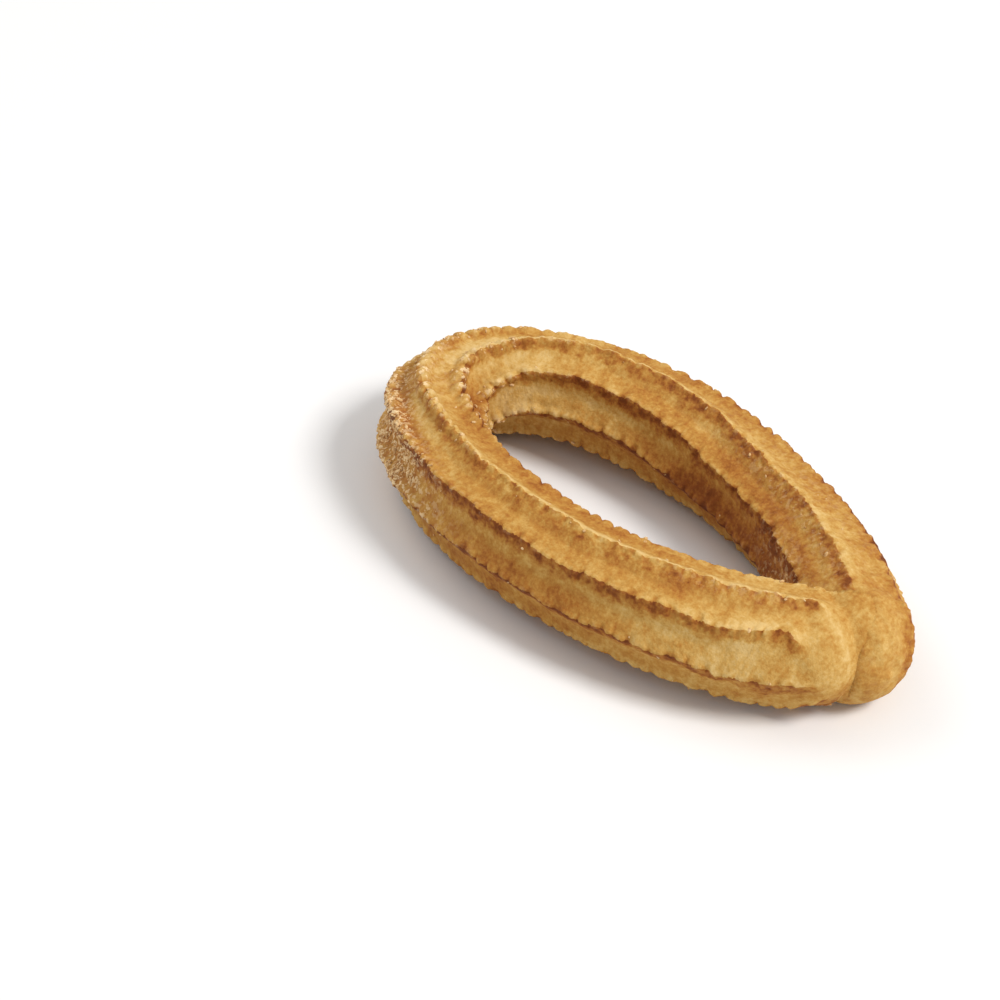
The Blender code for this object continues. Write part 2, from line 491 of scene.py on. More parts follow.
class RopeSurface:
    """The fine surface of the rope, as rings of points from the far tip round to the near one."""

    def __init__(self, path: LoopPath, nose: Nose, star: StarRope, leg_rings: int, tip_rings: int,
                 ridge_points: int) -> None:
        """Works out the surface.

        Args:
            path: The rope's middle line.
            nose: The shape of the two ends.
            star: The rope's section.
            leg_rings: How many rings each leg has.
            tip_rings: How many rings close each tip.
            ridge_points: How many points of a ring belong to each ridge.
        """
        self.path = path
        self.nose = nose
        self.star = star
        self.leg_rings = leg_rings
        self.tip_rings = tip_rings
        self.ridge_points = ridge_points
        self.marks: dict[Mark, np.ndarray] = {}
        self.lay_sections()
        self.lay_rings()

    def lay_sections(self) -> None:
        """Places the sections: their middles, headings, shares of the length, and sides."""
        balls = {side: self.nose.leg_balls(self.path, side) for side in Side}
        self.balls = np.concatenate([balls[Side.FAR], balls[Side.NEAR]])
        far = self.leg(Side.FAR)
        near = self.leg(Side.NEAR)
        rows = [np.concatenate([ahead, behind[::-1][1:]]) for ahead, behind in zip(far, near)]
        self.middles, self.headings, self.shares, self.sides = rows
        self.outward = unit(np.cross(self.headings, [0.0, 0.0, 1.0]))
        self.upward = unit(np.cross(self.outward, self.headings))
        steps = np.linalg.norm(np.diff(self.middles, axis=0), axis=1)
        self.runs = np.concatenate([[0.0], np.cumsum(steps)])

    def leg(self, side: Side) -> tuple[np.ndarray, ...]:
        """The sections of one half of the rope, from its tip to the middle of the bend.

        Args:
            side: Which half.

        Returns:
            Middles, headings, shares of the whole rope and sides.
        """
        first = self.nose.end_turn[side]
        turns = self.path.even_turns(first, math.pi, self.leg_rings)
        shares = 0.5 * np.arange(self.leg_rings + 1) / self.leg_rings
        if side is Side.NEAR:
            turns = 2.0 * math.pi - turns
            shares = 1.0 - shares
        middles = self.path.points(turns)
        run = self.nose.run(side)
        reach = float(self.way_out(middles[:1], run[None, None, :])[0, 0])
        steps = np.arange(self.tip_rings, 0, -1)
        ways = np.sin(0.5 * math.pi * (steps - 0.15) / self.tip_rings)
        tips = middles[0] + run * (reach * ways)[:, None]
        middles = np.concatenate([tips, middles])
        turns = np.concatenate([np.full(self.tip_rings, turns[0]), turns])
        shares = np.concatenate([np.full(self.tip_rings, shares[0]), shares])
        nearness = smooth_step(middles[:, 0] / self.path.half_length, *self.nose.turn_to_tip)[:, None]
        tangents = self.path.tangents(turns)
        headings = unit(tangents + (run * -side.value - tangents) * nearness)
        return middles, headings, shares, np.full(len(shares), side.value)

    def way_out(self, starts: np.ndarray, directions: np.ndarray) -> np.ndarray:
        """How far lines from points inside the rope's balls run before they leave them.

        Args:
            starts: One start in each row.
            directions: For each start, some directions of length 1.

        Returns:
            A distance for each start and direction.
        """
        offsets = self.balls[None, :, :] - starts[:, None, :]
        alongs = np.einsum("sdk,sbk->sdb", directions, offsets)
        squares = self.star.radius ** 2 - np.sum(offsets * offsets, axis=2)[:, None, :] + alongs ** 2
        halves = np.sqrt(np.maximum(squares, 0.0))
        entries = np.where(squares > 0.0, alongs - halves, np.inf)
        exits = alongs + halves
        reach = np.zeros(alongs.shape[:2])
        for _ in range(len(self.balls)):
            further = np.where(entries <= reach[..., None], exits, 0.0).max(axis=2)
            if np.all(further <= reach + 1e-7):
                break
            reach = np.maximum(reach, further)
        return reach

    def lay_rings(self) -> None:
        """Works out the rings' points and what each point carries."""
        star = self.star
        steps = (np.arange(self.ridge_points) / self.ridge_points - 0.5) * 2.0 * math.pi
        phases = np.tile(steps - 0.30 * np.sin(steps), star.ridges)
        ridges = np.repeat(np.arange(star.ridges), self.ridge_points)
        crests = star.ridge_angles(self.shares)[:, None]
        angles = crests + (ridges + phases / (2.0 * math.pi)) * (2.0 * math.pi / star.ridges)
        cosines, sines = np.cos(angles)[..., None], np.sin(angles)[..., None]
        self.directions = self.outward[:, None] * cosines + self.upward[:, None] * sines
        self.arounds = self.upward[:, None] * cosines - self.outward[:, None] * sines
        self.angles = np.degrees(angles) % 360.0
        body = np.full(angles.shape, star.radius)
        near_nose = self.middles[:, 0] > 0.0
        for rows in np.array_split(np.flatnonzero(near_nose), 24):
            body[rows] = self.way_out(self.middles[rows], self.directions[rows])
        wander = self.crest_wander(ridges)
        strayed = (phases[None, :] - wander + math.pi) % (2.0 * math.pi) - math.pi
        rounding = star.crest_rounding
        slope = (np.hypot(strayed, rounding) - rounding) / (math.hypot(math.pi, rounding) - rounding)
        self.bend = np.exp(-((self.shares - star.bend_middle) / star.bend_reach) ** 2)[:, None]
        share, width = (leg + (bend - leg) * self.bend for leg, bend in zip(star.leg_bead, star.bend_bead))
        wave = (1.0 - share) * (1.0 - slope) ** star.crest_sharpness + share * np.exp(-(strayed / width) ** 4)
        ridge_share = self.ridge_shares(self.middles[:, None] + self.directions * body[..., None])
        from_bend = np.abs(self.shares[:, None] - 0.5)
        flatness = np.where(self.shares < 0.5, star.nose_flatness[Side.FAR], star.nose_flatness[Side.NEAR])[:, None]
        drop = star.valley_drop * (1.0 - flatness * smooth_step(from_bend, *star.nose_span))
        drop = drop + star.bend_valley * self.bend
        relief = wave * (star.crest_rise + drop) - drop
        relief = relief * ridge_share * np.minimum(body / star.radius, 1.0)
        radii = star.thickness(self.shares)[:, None] * (body + relief)
        pressed = self.press(radii, near_nose)
        points = self.middles[:, None] + self.directions * pressed[..., None]
        self.clear = smooth_step(radii - pressed, 0.0006, 0.0)
        points[..., 2] = self.settle(points[..., 2])
        self.points = points
        self.carry(strayed, ridges, ridge_share)

    def ridge_shares(self, places: np.ndarray) -> np.ndarray:
        """How much of the ridges is left at places near the tips, where they are smoothed away.

        Args:
            places: Points on the rope's body.

        Returns:
            Shares from 0 to 1.
        """
        nose = self.nose
        forward = places[..., 0] + nose.fade_lean * places[..., 2]
        near = 1.0 - smooth_step(forward, *nose.near_ridge_fade)
        kept = nose.far_tip_ridges * smooth_step(nose.past_seam(places), *nose.far_ridge_return)
        far = 1.0 + smooth_step(places[..., 0], *nose.far_ridge_fade) * (kept - 1.0)
        return np.where(self.sides[:, None] > 0, far, near)

    def crest_wander(self, ridges: np.ndarray) -> np.ndarray:
        """How far each crest line strays to the side, as a phase, for every ring and point.

        Args:
            ridges: The ridge that each point of a ring belongs to.

        Returns:
            Phases in radians.
        """
        runs = self.runs[:, None] / MM
        wander = np.zeros((len(self.runs), len(ridges)))
        for length, amount in ((31.0, 0.16), (13.0, 0.12), (6.1, 0.08)):
            wander += amount * np.sin(2.0 * math.pi * runs / length + 2.4 * length * ridges[None, :])
        return wander

    def press(self, radii: np.ndarray, near_nose: np.ndarray) -> np.ndarray:
        """The radii after the seam has cut them off, with a soft edge at the seam.

        Args:
            radii: The radii of the free rope.
            near_nose: Which rings are near enough to the nose to meet the seam.

        Returns:
            The new radii.
        """
        nose = self.nose
        rows = np.flatnonzero(near_nose)
        middles = self.middles[rows][:, None]
        directions = self.directions[rows]
        sides = self.sides[rows][:, None]

        def beyond(reach: np.ndarray) -> np.ndarray:
            places = middles + directions * reach[..., None]
            return nose.past_seam(places) * sides + nose.seam_overlap

        most = radii[rows] + 6.0 * nose.seam_rounding
        free = beyond(most) >= 0.0
        inside, outside = np.zeros_like(most), most.copy()
        for _ in range(nose.seam_halvings):
            halfway = (inside + outside) / 2.0
            held = beyond(halfway) >= 0.0
            inside = np.where(held, halfway, inside)
            outside = np.where(held, outside, halfway)
        excess = np.minimum((radii[rows] - inside) / nose.seam_rounding, 30.0)
        cut = radii[rows] - nose.seam_rounding * np.log1p(np.exp(excess))
        pressed = radii.copy()
        pressed[rows] = np.where(free, radii[rows], cut)
        return pressed

    def settle(self, heights: np.ndarray) -> np.ndarray:
        """Heights after the dough has settled softly on to the surface that it lies on."""
        softness = self.star.settling
        above = (heights + self.star.lying_drop) / softness
        return softness * np.logaddexp(0.0, above) - self.star.lying_drop

    def carry(self, phases: np.ndarray, ridges: np.ndarray, ridge_share: np.ndarray) -> None:
        """Notes what the points carry for the relief and the colours.

        Args:
            phases: How far each point is from the nearest crest line, as a phase.
            ridges: Each ring point's ridge.
            ridge_share: How much of the ridges is left at each point.
        """
        shape = phases.shape
        lean = (self.arounds @ np.array(self.star.lee_side)) * np.sign(phases)
        shares = np.broadcast_to(self.shares[:, None], shape)
        self.marks[Mark.RUN] = self.crest_runs()[:, ridges]
        self.marks[Mark.RIDGE] = np.broadcast_to(ridges[None, :].astype(float), shape)
        self.marks[Mark.PHASE] = phases
        self.marks[Mark.ASIDE] = np.abs(phases)
        self.marks[Mark.RIDGED] = ridge_share * self.clear
        self.marks[Mark.CLEAR] = self.clear
        # How far each point's flank turns to the side away from the light, where shade is painted and pits are cut
        # deeper.
        self.marks[Mark.UNDER] = np.clip(0.5 + 0.6 * lean, 0.0, 1.0)
        self.marks[Mark.BEND] = np.broadcast_to(self.bend, shape)
        for mark_name, patches in PATCHES.items():
            amount = sum(patch.at(shares, self.angles) for patch in patches)
            self.marks[mark_name] = np.clip(amount, -1.0, 1.0)

    def crest_runs(self) -> np.ndarray:
        """How long each crest line is up to each ring, so that knobs stay the same size round the bend."""
        crests = self.points[:, self.ridge_points // 2::self.ridge_points]
        steps = np.linalg.norm(np.diff(crests, axis=0), axis=-1)
        return np.concatenate([np.zeros((1, self.star.ridges)), np.cumsum(steps, axis=0)])

    def laid(self) -> np.ndarray:
        """Places along and round the rope, closed up round it, for streaks that run across the ridges."""
        turns = np.radians(self.angles)
        around = self.star.radius * self.star.streak_closeness
        runs = np.broadcast_to(self.runs[:, None], turns.shape)
        return np.stack([runs, around * np.cos(turns), around * np.sin(turns)], axis=-1)

    def mesh(self, name: str) -> bpy.types.Mesh:
        """The surface as a closed mesh, set in the frame over the solid that it stands for.

        Args:
            name: The mesh's name.

        Returns:
            A mesh whose points carry their marks and their outward direction.
        """
        rings, around = self.points.shape[:2]
        poles = np.stack([self.points[0].mean(axis=0), self.points[-1].mean(axis=0)])
        points = np.concatenate([self.points.reshape(-1, 3), poles])
        low, high = (np.array(corner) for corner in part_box(NODE))
        middle = (points.min(axis=0) + points.max(axis=0)) / 2.0
        shift = (low + high) / 2.0 - middle
        shift[2] = low[2] - points[:, 2].min()
        before = np.arange(rings - 1)[:, None] * around + np.arange(around)[None, :]
        following = np.arange(rings - 1)[:, None] * around + (np.arange(around)[None, :] + 1) % around
        quads = np.stack([before, before + around, following + around, following], axis=-1).reshape(-1, 4)
        first = np.arange(around)
        second = (first + 1) % around
        tip = len(points) - 2
        last = (rings - 1) * around
        faces = quads.tolist()
        faces += [[tip, one, other] for one, other in zip(first.tolist(), second.tolist())]
        faces += [[tip + 1, last + other, last + one] for one, other in zip(first.tolist(), second.tolist())]
        mesh = bpy.data.meshes.new(name)
        mesh.from_pydata((points + shift).tolist(), [], faces)
        for mark, values in self.marks.items():
            flat = np.concatenate([values.reshape(-1), [values[0].mean(), values[-1].mean()]])
            attribute = mesh.attributes.new(mark.value, "FLOAT", "POINT")
            attribute.data.foreach_set("value", flat.astype(np.float32))
        for label, vectors in (("away", self.directions), ("sideways", self.arounds), ("laid", self.laid())):
            ends = np.stack([vectors[0].mean(axis=0), vectors[-1].mean(axis=0)])
            flat = np.concatenate([vectors.reshape(-1, 3), ends])
            attribute = mesh.attributes.new(label, "FLOAT_VECTOR", "POINT")
            attribute.data.foreach_set("vector", flat.astype(np.float32).reshape(-1))
        return mesh


PATCHES = {
    # Patches of real toasting; some are painted shade, as noted.
    Mark.DONE: (
        # Painted shade on the far leg's inside, which faces down and inwards, away from the light.
        Patch(share=0.17, angle=182.0, share_width=0.10, angle_width=30.0, amount=0.68),   # far leg's inside
        Patch(share=0.07, angle=178.0, share_width=0.05, angle_width=30.0, amount=0.14),
        Patch(share=0.25, angle=151.0, share_width=0.25, angle_width=9.0, amount=-0.28),   # its inner crest
        Patch(share=0.30, angle=125.0, share_width=0.06, angle_width=35.0, amount=0.16),   # far leg's top
        Patch(share=0.13, angle=132.0, share_width=0.10, angle_width=18.0, amount=0.38),
        Patch(share=0.14, angle=108.0, share_width=0.07, angle_width=9.0, amount=-0.26),
        Patch(share=0.36, angle=90.0, share_width=0.10, angle_width=9.0, amount=-0.26),
        Patch(share=0.27, angle=195.0, share_width=0.12, angle_width=30.0, amount=0.14),
        Patch(share=0.12, angle=48.0, share_width=0.20, angle_width=14.0, amount=0.48),    # far leg's outside
        Patch(share=0.18, angle=70.0, share_width=0.10, angle_width=14.0, amount=0.08),
        Patch(share=0.46, angle=172.0, share_width=0.05, angle_width=28.0, amount=-0.30),  # bend's inside
        Patch(share=0.57, angle=152.0, share_width=0.07, angle_width=16.0, amount=0.45),
        Patch(share=0.47, angle=95.0, share_width=0.05, angle_width=40.0, amount=-0.40),  # bend's top
        Patch(share=0.60, angle=50.0, share_width=0.06, angle_width=12.0, amount=0.35),    # bend's outside
        Patch(share=0.575, angle=71.0, share_width=0.05, angle_width=12.0, amount=-0.40),
        # Painted shade on the near leg's outside, which faces away from the key light.
        Patch(share=0.74, angle=-32.0, share_width=0.12, angle_width=20.0, amount=0.26),   # near leg's outside
        Patch(share=0.77, angle=6.0, share_width=0.11, angle_width=16.0, amount=0.42),
        Patch(share=0.76, angle=50.0, share_width=0.10, angle_width=10.0, amount=0.28),
        Patch(share=0.92, angle=30.0, share_width=0.06, angle_width=16.0, amount=-0.22),
        Patch(share=0.82, angle=74.0, share_width=0.20, angle_width=9.0, amount=0.18),     # near leg's top
        Patch(share=0.82, angle=90.0, share_width=0.20, angle_width=9.0, amount=-0.42),
        Patch(share=0.72, angle=132.0, share_width=0.16, angle_width=17.0, amount=0.42),   # near leg's inside
        Patch(share=0.98, angle=40.0, share_width=0.05, angle_width=60.0, amount=-0.10),   # near end
        Patch(share=0.50, angle=270.0, share_width=0.60, angle_width=45.0, amount=0.20),   # all along underneath
    ),
    Mark.CRUMBLY: (
        Patch(share=0.575, angle=20.0, share_width=0.060, angle_width=32.0, amount=1.0),   # bend's outside
        Patch(share=0.620, angle=8.0, share_width=0.060, angle_width=28.0, amount=0.6),
        Patch(share=0.530, angle=78.0, share_width=0.050, angle_width=40.0, amount=0.22),  # bend's top
        Patch(share=0.120, angle=112.0, share_width=0.100, angle_width=10.0, amount=0.22),  # far leg's top crest
        Patch(share=0.060, angle=165.0, share_width=0.050, angle_width=28.0, amount=0.35),  # inside, by the nose
        Patch(share=0.120, angle=75.0, share_width=0.120, angle_width=20.0, amount=0.12),  # far leg's outside
        Patch(share=0.930, angle=88.0, share_width=0.050, angle_width=9.0, amount=0.15),   # near leg's top crest
    ),
    Mark.BOLD: (
        Patch(share=0.0, angle=50.0, share_width=0.06, angle_width=60.0, amount=1.0),      # far end's outside
    ),
}


# --------------------------------------------------------------------------- finishes


@dataclass(frozen=True)
class FriedCrust:
    """The crust: its colour goes from pale over golden to brown with how well fried each place is, and with painted
    shade and painted light on its sides, crests and pits.
    """

    name: str = "fried_dough"
    shades: tuple[Colour, ...] = (
        (0.70, 0.475, 0.185), (0.60, 0.360, 0.100), (0.49, 0.240, 0.048), (0.385, 0.146, 0.025), (0.25, 0.072, 0.013),
        (0.165, 0.042, 0.008),
    )
    done_range: float = 1.25
    # The pale colour of crumbs, also painted on the knob tips as highlight.
    crumb_and_highlight: Colour = (0.84, 0.62, 0.35)
    middling: float = 0.39
    roughness: float = 0.75
    specular: float = 0.15
    grain_relief: float = 0.22 * MM

    def material(self) -> bpy.types.Material:
        """The crust's material."""
        material = bpy.data.materials.new(self.name)
        material.use_nodes = True
        graph = Graph(material.node_tree)
        shader = material.node_tree.nodes["Principled BSDF"]
        place = graph.run("ShaderNodeTexCoord", {}, "Object")
        # The ramp's value sums real toasting with painted shading: the patches hold both, the stripes under the crests
        # are partly painted shade and the paler crest edges are painted light.
        done = self.mottles(graph, place) + self.shade_bands_and_lit_rims(graph, place) + mark(graph, Mark.DONE) + self.middling
        # Painted shade: the pits and the gaps between knobs are darker.
        done = done + mark(graph, Mark.PIT_SHADE) * 0.34 + mark(graph, Mark.CRUMBLY) * 0.28
        graph.put(shader.inputs["Base Color"], self.tip_highlights_and_flecks(graph, place, self.shaded(graph, done)))
        shader.inputs["Specular IOR Level"].default_value = self.specular
        gloss = graph.noise(place, 1.5 * MM, 3.0).span(0.3, 0.7)
        graph.put(shader.inputs["Roughness"], self.roughness - 0.10 + gloss * 0.2)
        grain = graph.noise(place, 0.55 * MM, 4.0, 0.65)
        bump = graph.node("ShaderNodeBump")
        bump.inputs["Strength"].default_value = 0.8
        bump.inputs["Distance"].default_value = self.grain_relief
        graph.put(bump.inputs["Height"], grain)
        graph.put(shader.inputs["Normal"], Value(graph, bump.outputs["Normal"]))
        return material

    def shaded(self, graph: Graph, done: Value) -> Value:
        """The crust's colour for this sum of toasting and painted shading, from 0 to the end of its range."""
        ramp = graph.node("ShaderNodeValToRGB")
        graph.put(ramp.inputs["Fac"], done / self.done_range)
        stops = ramp.color_ramp.elements
        while len(stops) < len(self.shades):
            stops.new(0.5)
        for index, colour in enumerate(self.shades):
            stops[index].position = index / (len(self.shades) - 1)
            stops[index].color = (*colour, 1.0)
        return Value(graph, ramp.outputs["Color"])

    def mottles(self, graph: Graph, place: Value) -> Value:
        """How much more or less toasted the dough is in blotches, mottles, specks and fine cross streaks.

        Args:
            graph: The material's tree.
            place: Where it is read.

        Returns:
            A number around 0.
        """
        laid = graph.run("ShaderNodeAttribute", {}, "Vector", attribute_name="laid")
        blotches = (graph.noise(place, 7.0 * MM, 3.0, 0.6) - 0.5) * 0.80
        mottles = (graph.noise(place, 1.9 * MM, 3.0, 0.7) - 0.5) * 0.75
        specks = (graph.noise(place, 0.7 * MM, 2.0, 0.7) - 0.5) * 0.65
        streaks = (graph.noise(laid, 1.1 * MM, 3.0, 0.65) - 0.5) * 0.35
        return blotches + mottles + specks + streaks

    def shade_bands_and_lit_rims(self, graph: Graph, place: Value) -> Value:
        """The ragged darker stripe under each crest on the side away from the light, partly toasted crust and partly
        painted shade, and the paler edge above it, which is painted light.

        Args:
            graph: The material's tree.
            place: Where it is read.

        Returns:
            How much the ramp's value rises under the crests and falls on their lit edges.
        """
        aside, ridged = mark(graph, Mark.ASIDE), mark(graph, Mark.RIDGED)
        below = mark(graph, Mark.UNDER).span(0.40, 0.70)
        ragged = (graph.noise(place, 1.3 * MM, 3.0, 0.65) - 0.5) * 2.4 + (graph.noise(place, 5.0 * MM, 2.0) - 0.5) * 2.4
        # Partly toasted crust and partly painted shade, under each crest on the side away from the light.
        toast_and_shade_band = (1.0 - (aside + ragged).span(0.8, 2.5)) * below * ridged
        knots = graph.noise(place, 2.2 * MM, 2.0, 0.6).span(0.36, 0.62)
        # Painted light: the paler edge on the lit side of each crest.
        lit_rim = (1.0 - (aside + ragged * 0.5).span(0.4, 2.0)) * (1.0 - below) * ridged
        return toast_and_shade_band * (0.22 + knots * 0.30) - lit_rim * 0.17

    def tip_highlights_and_flecks(self, graph: Graph, place: Value, colour: Value) -> Value:
        """The pale tips of the crest knobs, which are painted highlight, and pale flecks of crumbs.

        Args:
            graph: The material's tree.
            place: Where the colour is read.
            colour: The colour under them.

        Returns:
            The crust's colour.
        """
        crumbly, bend = mark(graph, Mark.CRUMBLY), mark(graph, Mark.BEND)
        flecks = graph.noise(place, 1.0 * MM, 2.0, 0.6).span(0.53, 0.58)
        # Painted highlight on the knob tips, strongest round the bend.
        tips = mark(graph, Mark.TOOTH).span(0.45, 0.90) * (0.08 + bend * 0.65 + crumbly * 0.6)
        pale = graph.math("MULTIPLY", tips + crumbly * 0.95, flecks * 0.94 + 0.06, clamp=True)
        return blend_colours(graph, pale, colour, self.crumb_and_highlight)


@dataclass(frozen=True)
class PaleCrumb:
    """Small crumbs of torn crust, dry and paler than the rope."""

    name: str = "pale_crumb"
    pale: Colour = (0.76, 0.53, 0.27)
    golden: Colour = (0.58, 0.33, 0.12)
    roughness: float = 0.8

    def material(self) -> bpy.types.Material:
        """The crumbs' material."""
        material = bpy.data.materials.new(self.name)
        material.use_nodes = True
        graph = Graph(material.node_tree)
        shader = material.node_tree.nodes["Principled BSDF"]
        place = graph.run("ShaderNodeTexCoord", {}, "Object")
        shade = graph.noise(place, 0.9 * MM, 2.0, 0.6).span(0.35, 0.65)
        graph.put(shader.inputs["Base Color"], blend_colours(graph, shade, self.golden, self.pale))
        shader.inputs["Roughness"].default_value = self.roughness
        return material


@dataclass(frozen=True)
class PaleFloor:
    """The plain pale surface under the churro."""

    name: str = "pale_floor"
    colour: Colour = (0.86, 0.86, 0.86)
    roughness: float = 0.9

    def material(self) -> bpy.types.Material:
        """The floor's material."""
        material = bpy.data.materials.new(self.name)
        material.use_nodes = True
        shader = material.node_tree.nodes["Principled BSDF"]
        shader.inputs["Base Color"].default_value = (*self.colour, 1.0)
        shader.inputs["Roughness"].default_value = self.roughness
        return material


def mark(graph: Graph, which: Mark) -> Value:
    """What the points carry under a mark, as a number in a material or a geometry tree."""
    if isinstance(graph.tree, bpy.types.GeometryNodeTree):
        inputs = {"Name": which.value}
        return graph.run("GeometryNodeInputNamedAttribute", inputs, "Attribute", data_type="FLOAT")
    return graph.run("ShaderNodeAttribute", {}, "Fac", attribute_name=which.value)


def blend_colours(graph: Graph, share: Value, first: "Value | Colour", second: "Value | Colour") -> Value:
    """A colour between two.

    Args:
        graph: The material's tree.
        share: How much of the second colour there is.
        first: The first colour.
        second: The second colour.

    Returns:
        The colour.
    """
    node = graph.node("ShaderNodeMix", data_type="RGBA", clamp_factor=True)
    graph.put(shown_socket(node.inputs, "Factor"), share)
    for name, colour in (("A", first), ("B", second)):
        graph.put(shown_socket(node.inputs, name), colour if isinstance(colour, Value) else (*colour, 1.0))
    return Value(graph, shown_socket(node.outputs, "Result"))


# --------------------------------------------------------------------------- geometry trees


class GeometryTree:
    """A Geometry Nodes tree with named inputs, run once on an object and turned into a plain mesh."""

    def __init__(self, name: str, sizes: dict[str, float]) -> None:
        """Starts the tree.

        Args:
            name: The tree's name.
            sizes: Its inputs by name, with their values.
        """
        self.tree = bpy.data.node_groups.new(name, "GeometryNodeTree")
        self.graph = Graph(self.tree)
        self.tree.interface.new_socket("Geometry", in_out="INPUT", socket_type="NodeSocketGeometry")
        self.tree.interface.new_socket("Geometry", in_out="OUTPUT", socket_type="NodeSocketGeometry")
        self.sizes = sizes
        self.sockets = {
            label: self.tree.interface.new_socket(label, in_out="INPUT", socket_type="NodeSocketFloat")
            for label in sizes
        }
        self.entry = self.graph.node("NodeGroupInput")

    def size(self, label: str) -> Value:
        """One of the tree's named inputs."""
        return Value(self.graph, self.entry.outputs[label])

    def geometry(self) -> Value:
        """The geometry that the tree starts from."""
        return Value(self.graph, self.entry.outputs["Geometry"])

    def random(self, low: float, high: float, seed: int) -> Value:
        """A random number for each point or instance, from low to high."""
        inputs = {"Min": low, "Max": high, "Seed": seed}
        return self.graph.run("FunctionNodeRandomValue", inputs, "Value", data_type="FLOAT")

    def store(self, geometry: Value, which: Mark, value: Value) -> Value:
        """The geometry with a number noted on its points under a mark."""
        inputs = {"Geometry": geometry, "Name": which.value, "Value": value}
        return self.graph.run("GeometryNodeStoreNamedAttribute", inputs, "Geometry", data_type="FLOAT")

    def finish(self, geometry: Value, material: bpy.types.Material) -> None:
        """Ends the tree: instances are made real and the material is set.

        Args:
            geometry: What the tree has made.
            material: What it is made of.
        """
        real = self.graph.run("GeometryNodeRealizeInstances", {"Geometry": geometry}, "Geometry")
        dressed = self.graph.run("GeometryNodeSetMaterial", {"Geometry": real, "Material": material}, "Geometry")
        exit_node = self.graph.node("NodeGroupOutput")
        self.graph.put(exit_node.inputs["Geometry"], dressed)

    def apply(self, mesh: bpy.types.Mesh, name: str) -> bpy.types.Object:
        """Runs the tree on a mesh.

        Args:
            mesh: The mesh to start from.
            name: The new object's name.

        Returns:
            An object with the result as its plain mesh.
        """
        source = bpy.data.objects.new(name + "_source", mesh)
        bpy.context.scene.collection.objects.link(source)
        modifier = source.modifiers.new(self.tree.name, "NODES")
        modifier.node_group = self.tree
        for label, socket in self.sockets.items():
            modifier[socket.identifier] = self.sizes[label]
        result = plain_mesh(source, name)
        bpy.data.objects.remove(source)
        piece = bpy.data.objects.new(name, result)
        bpy.context.scene.collection.objects.link(piece)
        return piece


def plain_mesh(source: bpy.types.Object, name: str) -> bpy.types.Mesh:
    """The mesh that an object's modifiers make, on its own."""
    bpy.context.view_layer.update()
    evaluated = source.evaluated_get(bpy.context.evaluated_depsgraph_get())
    mesh = bpy.data.meshes.new_from_object(evaluated)
    mesh.name = name
    return mesh


# --------------------------------------------------------------------------- the pieces


